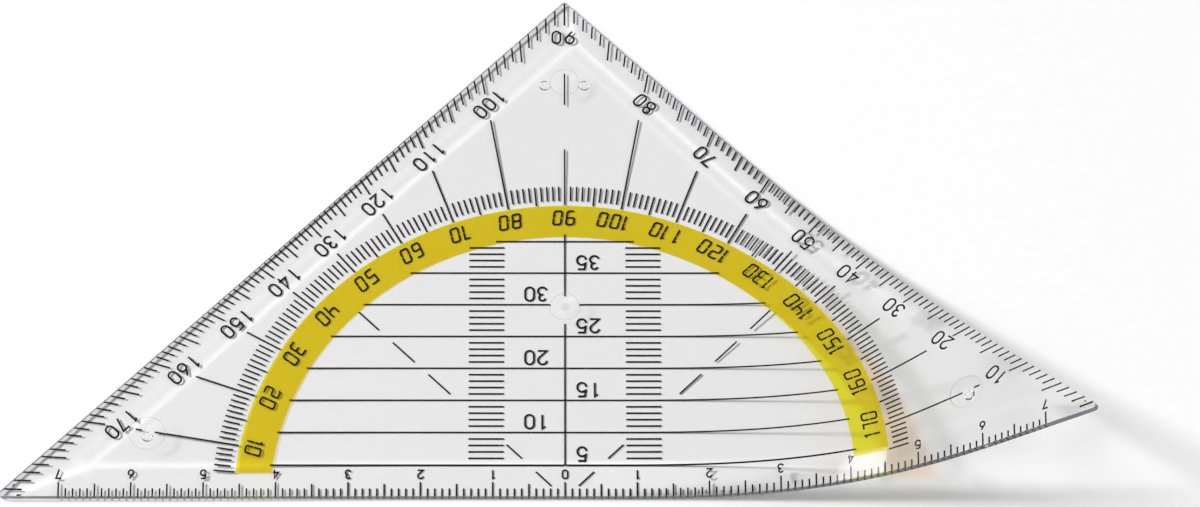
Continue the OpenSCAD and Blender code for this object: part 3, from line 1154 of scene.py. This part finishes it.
digits = digit_collection()
INK_SIZES = ("Digit height", "Stroke width", "Ink thickness", "Ink level")
numeral_tree = flexed_tree("numerals", black, flex, numeral_shape(digits), INK_SIZES)
for name, spots, height, stroke in (
    ("edge_numerals", edge_numbers(), 1.48, 0.225),
    ("ruling_numerals", ruling_numbers(), 2.4, 0.29),
    ("leg_numerals", leg_numbers(), 2.25, 0.27),
    ("band_numerals", band_numbers(), 2.4, 0.27),
):
    ink = {
        "Digit height": (height - stroke) * MM,
        "Stroke width": stroke * MM,
        "Ink thickness": PRINT_T * MM,
        "Ink level": (BLACK_TOP - PRINT_T / 2) * MM,
    }
    numerals = built(name, spots_mesh(name, spots), numeral_tree, {**FLEX_SIZES, **ink})
    ride_plate(numerals, "black_print")
for glyph in list(digits.objects):
    bpy.data.objects.remove(glyph)
bpy.data.collections.remove(digits)


def eased(x):
    """The way from 0 to 1 with a slow start and end."""
    return x * x * (3 - 2 * x)


def floor_level(x, y):
    """Level of the table, which dips to the feet under the left tip and the apex."""
    left_tip, apex = math.hypot(x + HALF_EDGE, y), math.hypot(x, y - HALF_EDGE)
    dip = max(eased(share(left_tip, *LEFT_DIP)), eased(share(apex, *APEX_DIP)))
    clear = 0.01
    return FLOOR_LEVEL + (-FOOT_H - clear - FLOOR_LEVEL) * dip


def floor():
    """Pale floor that the middle of the sagging plate touches, dipped under the feet that it stands
    on."""
    # Rows are close together under the plate and run out to the far sides
    far, step = 900, 2
    rows_x = [-far] + list(range(-100, 101, step)) + [far]
    rows_y = [-far] + list(range(-20, 101, step)) + [far]
    points = [(x, y, floor_level(x, y)) for y in rows_y for x in rows_x]
    wide = len(rows_x)
    faces = [
        (k, k + 1, k + wide + 1, k + wide)
        for row in range(len(rows_y) - 1)
        for k in range(row * wide, row * wide + wide - 1)
    ]
    mesh = flat_mesh("floor", points, faces)
    for face in mesh.polygons:
        face.use_smooth = True
    mesh.materials.append(board)
    ground = bpy.data.objects.new("floor", mesh)
    bpy.context.scene.collection.objects.link(ground)


def camera():
    """The camera of the photograph: a long lens, looking down on the plate."""
    elevation, yaw, roll = (math.radians(a) for a in (61.981, -1.0, 0.916))
    aim = Vector((4.960, 38.665, -0.5))
    distance = 1041.15
    back = Vector(
        (
            math.sin(yaw) * math.cos(elevation),
            -math.cos(yaw) * math.cos(elevation),
            math.sin(elevation),
        )
    )
    right = Vector((math.cos(yaw), math.sin(yaw), 0))
    up = back.cross(right)
    across = right * math.cos(roll) + up * math.sin(roll)
    over = up * math.cos(roll) - right * math.sin(roll)
    place = (aim + back * distance) * MM
    data = bpy.data.cameras.new("camera")
    data.sensor_width = 36
    data.lens = 222.08
    data.clip_start, data.clip_end = 0.01, 10
    eye = bpy.data.objects.new("camera", data)
    axes = Matrix((across, over, back)).transposed()
    eye.matrix_world = Matrix.Translation(place) @ axes.to_4x4()
    bpy.context.scene.collection.objects.link(eye)
    bpy.context.scene.camera = eye


def lamp(name, direction, distance, size, power):
    """Soft round lamp that faces the plate from a direction; metres and watts."""
    data = bpy.data.lights.new(name, "AREA")
    data.shape = "DISK"
    data.size = size
    data.energy = power
    light = bpy.data.objects.new(name, data)
    towards = Vector(direction).normalized()
    facing = towards.to_track_quat("Z", "Y").to_matrix().to_4x4()
    light.matrix_world = Matrix.Translation(towards * distance) @ facing
    bpy.context.scene.collection.objects.link(light)
    return light


def studio():
    """Dim white surroundings, a key lamp from the left, a fill from the right, a softbox overhead,
    and two lamps that the flexed rim mirrors as a glare with a soft glow round it."""
    world = bpy.data.worlds.new("studio")
    world.use_nodes = True
    background = world.node_tree.nodes["Background"].inputs
    background["Color"].default_value = (1, 1, 1, 1)
    background["Strength"].default_value = 0.12
    bpy.context.scene.world = world
    key = lamp("key", (-1.05, 0.12, 1), 3, 0.65, 78)
    # Kept out of reflections, where it would glint in the rounding of the flexed edge
    key.visible_glossy = False
    lamp("fill", (1, 0.2, 1), 1.6, 0.9, 3)
    lamp("overhead", (0, -0.45, 1), 1.4, 0.9, 5.2)
    mirrored = (-0.555, 0.385, 0.738)
    lamp("glare", mirrored, 1.5, 0.28, 1.1)
    lamp("glow", mirrored, 1.6, 0.7, 1.2)


floor()
camera()
studio()
bpy.context.scene.view_settings.view_transform = "Standard"
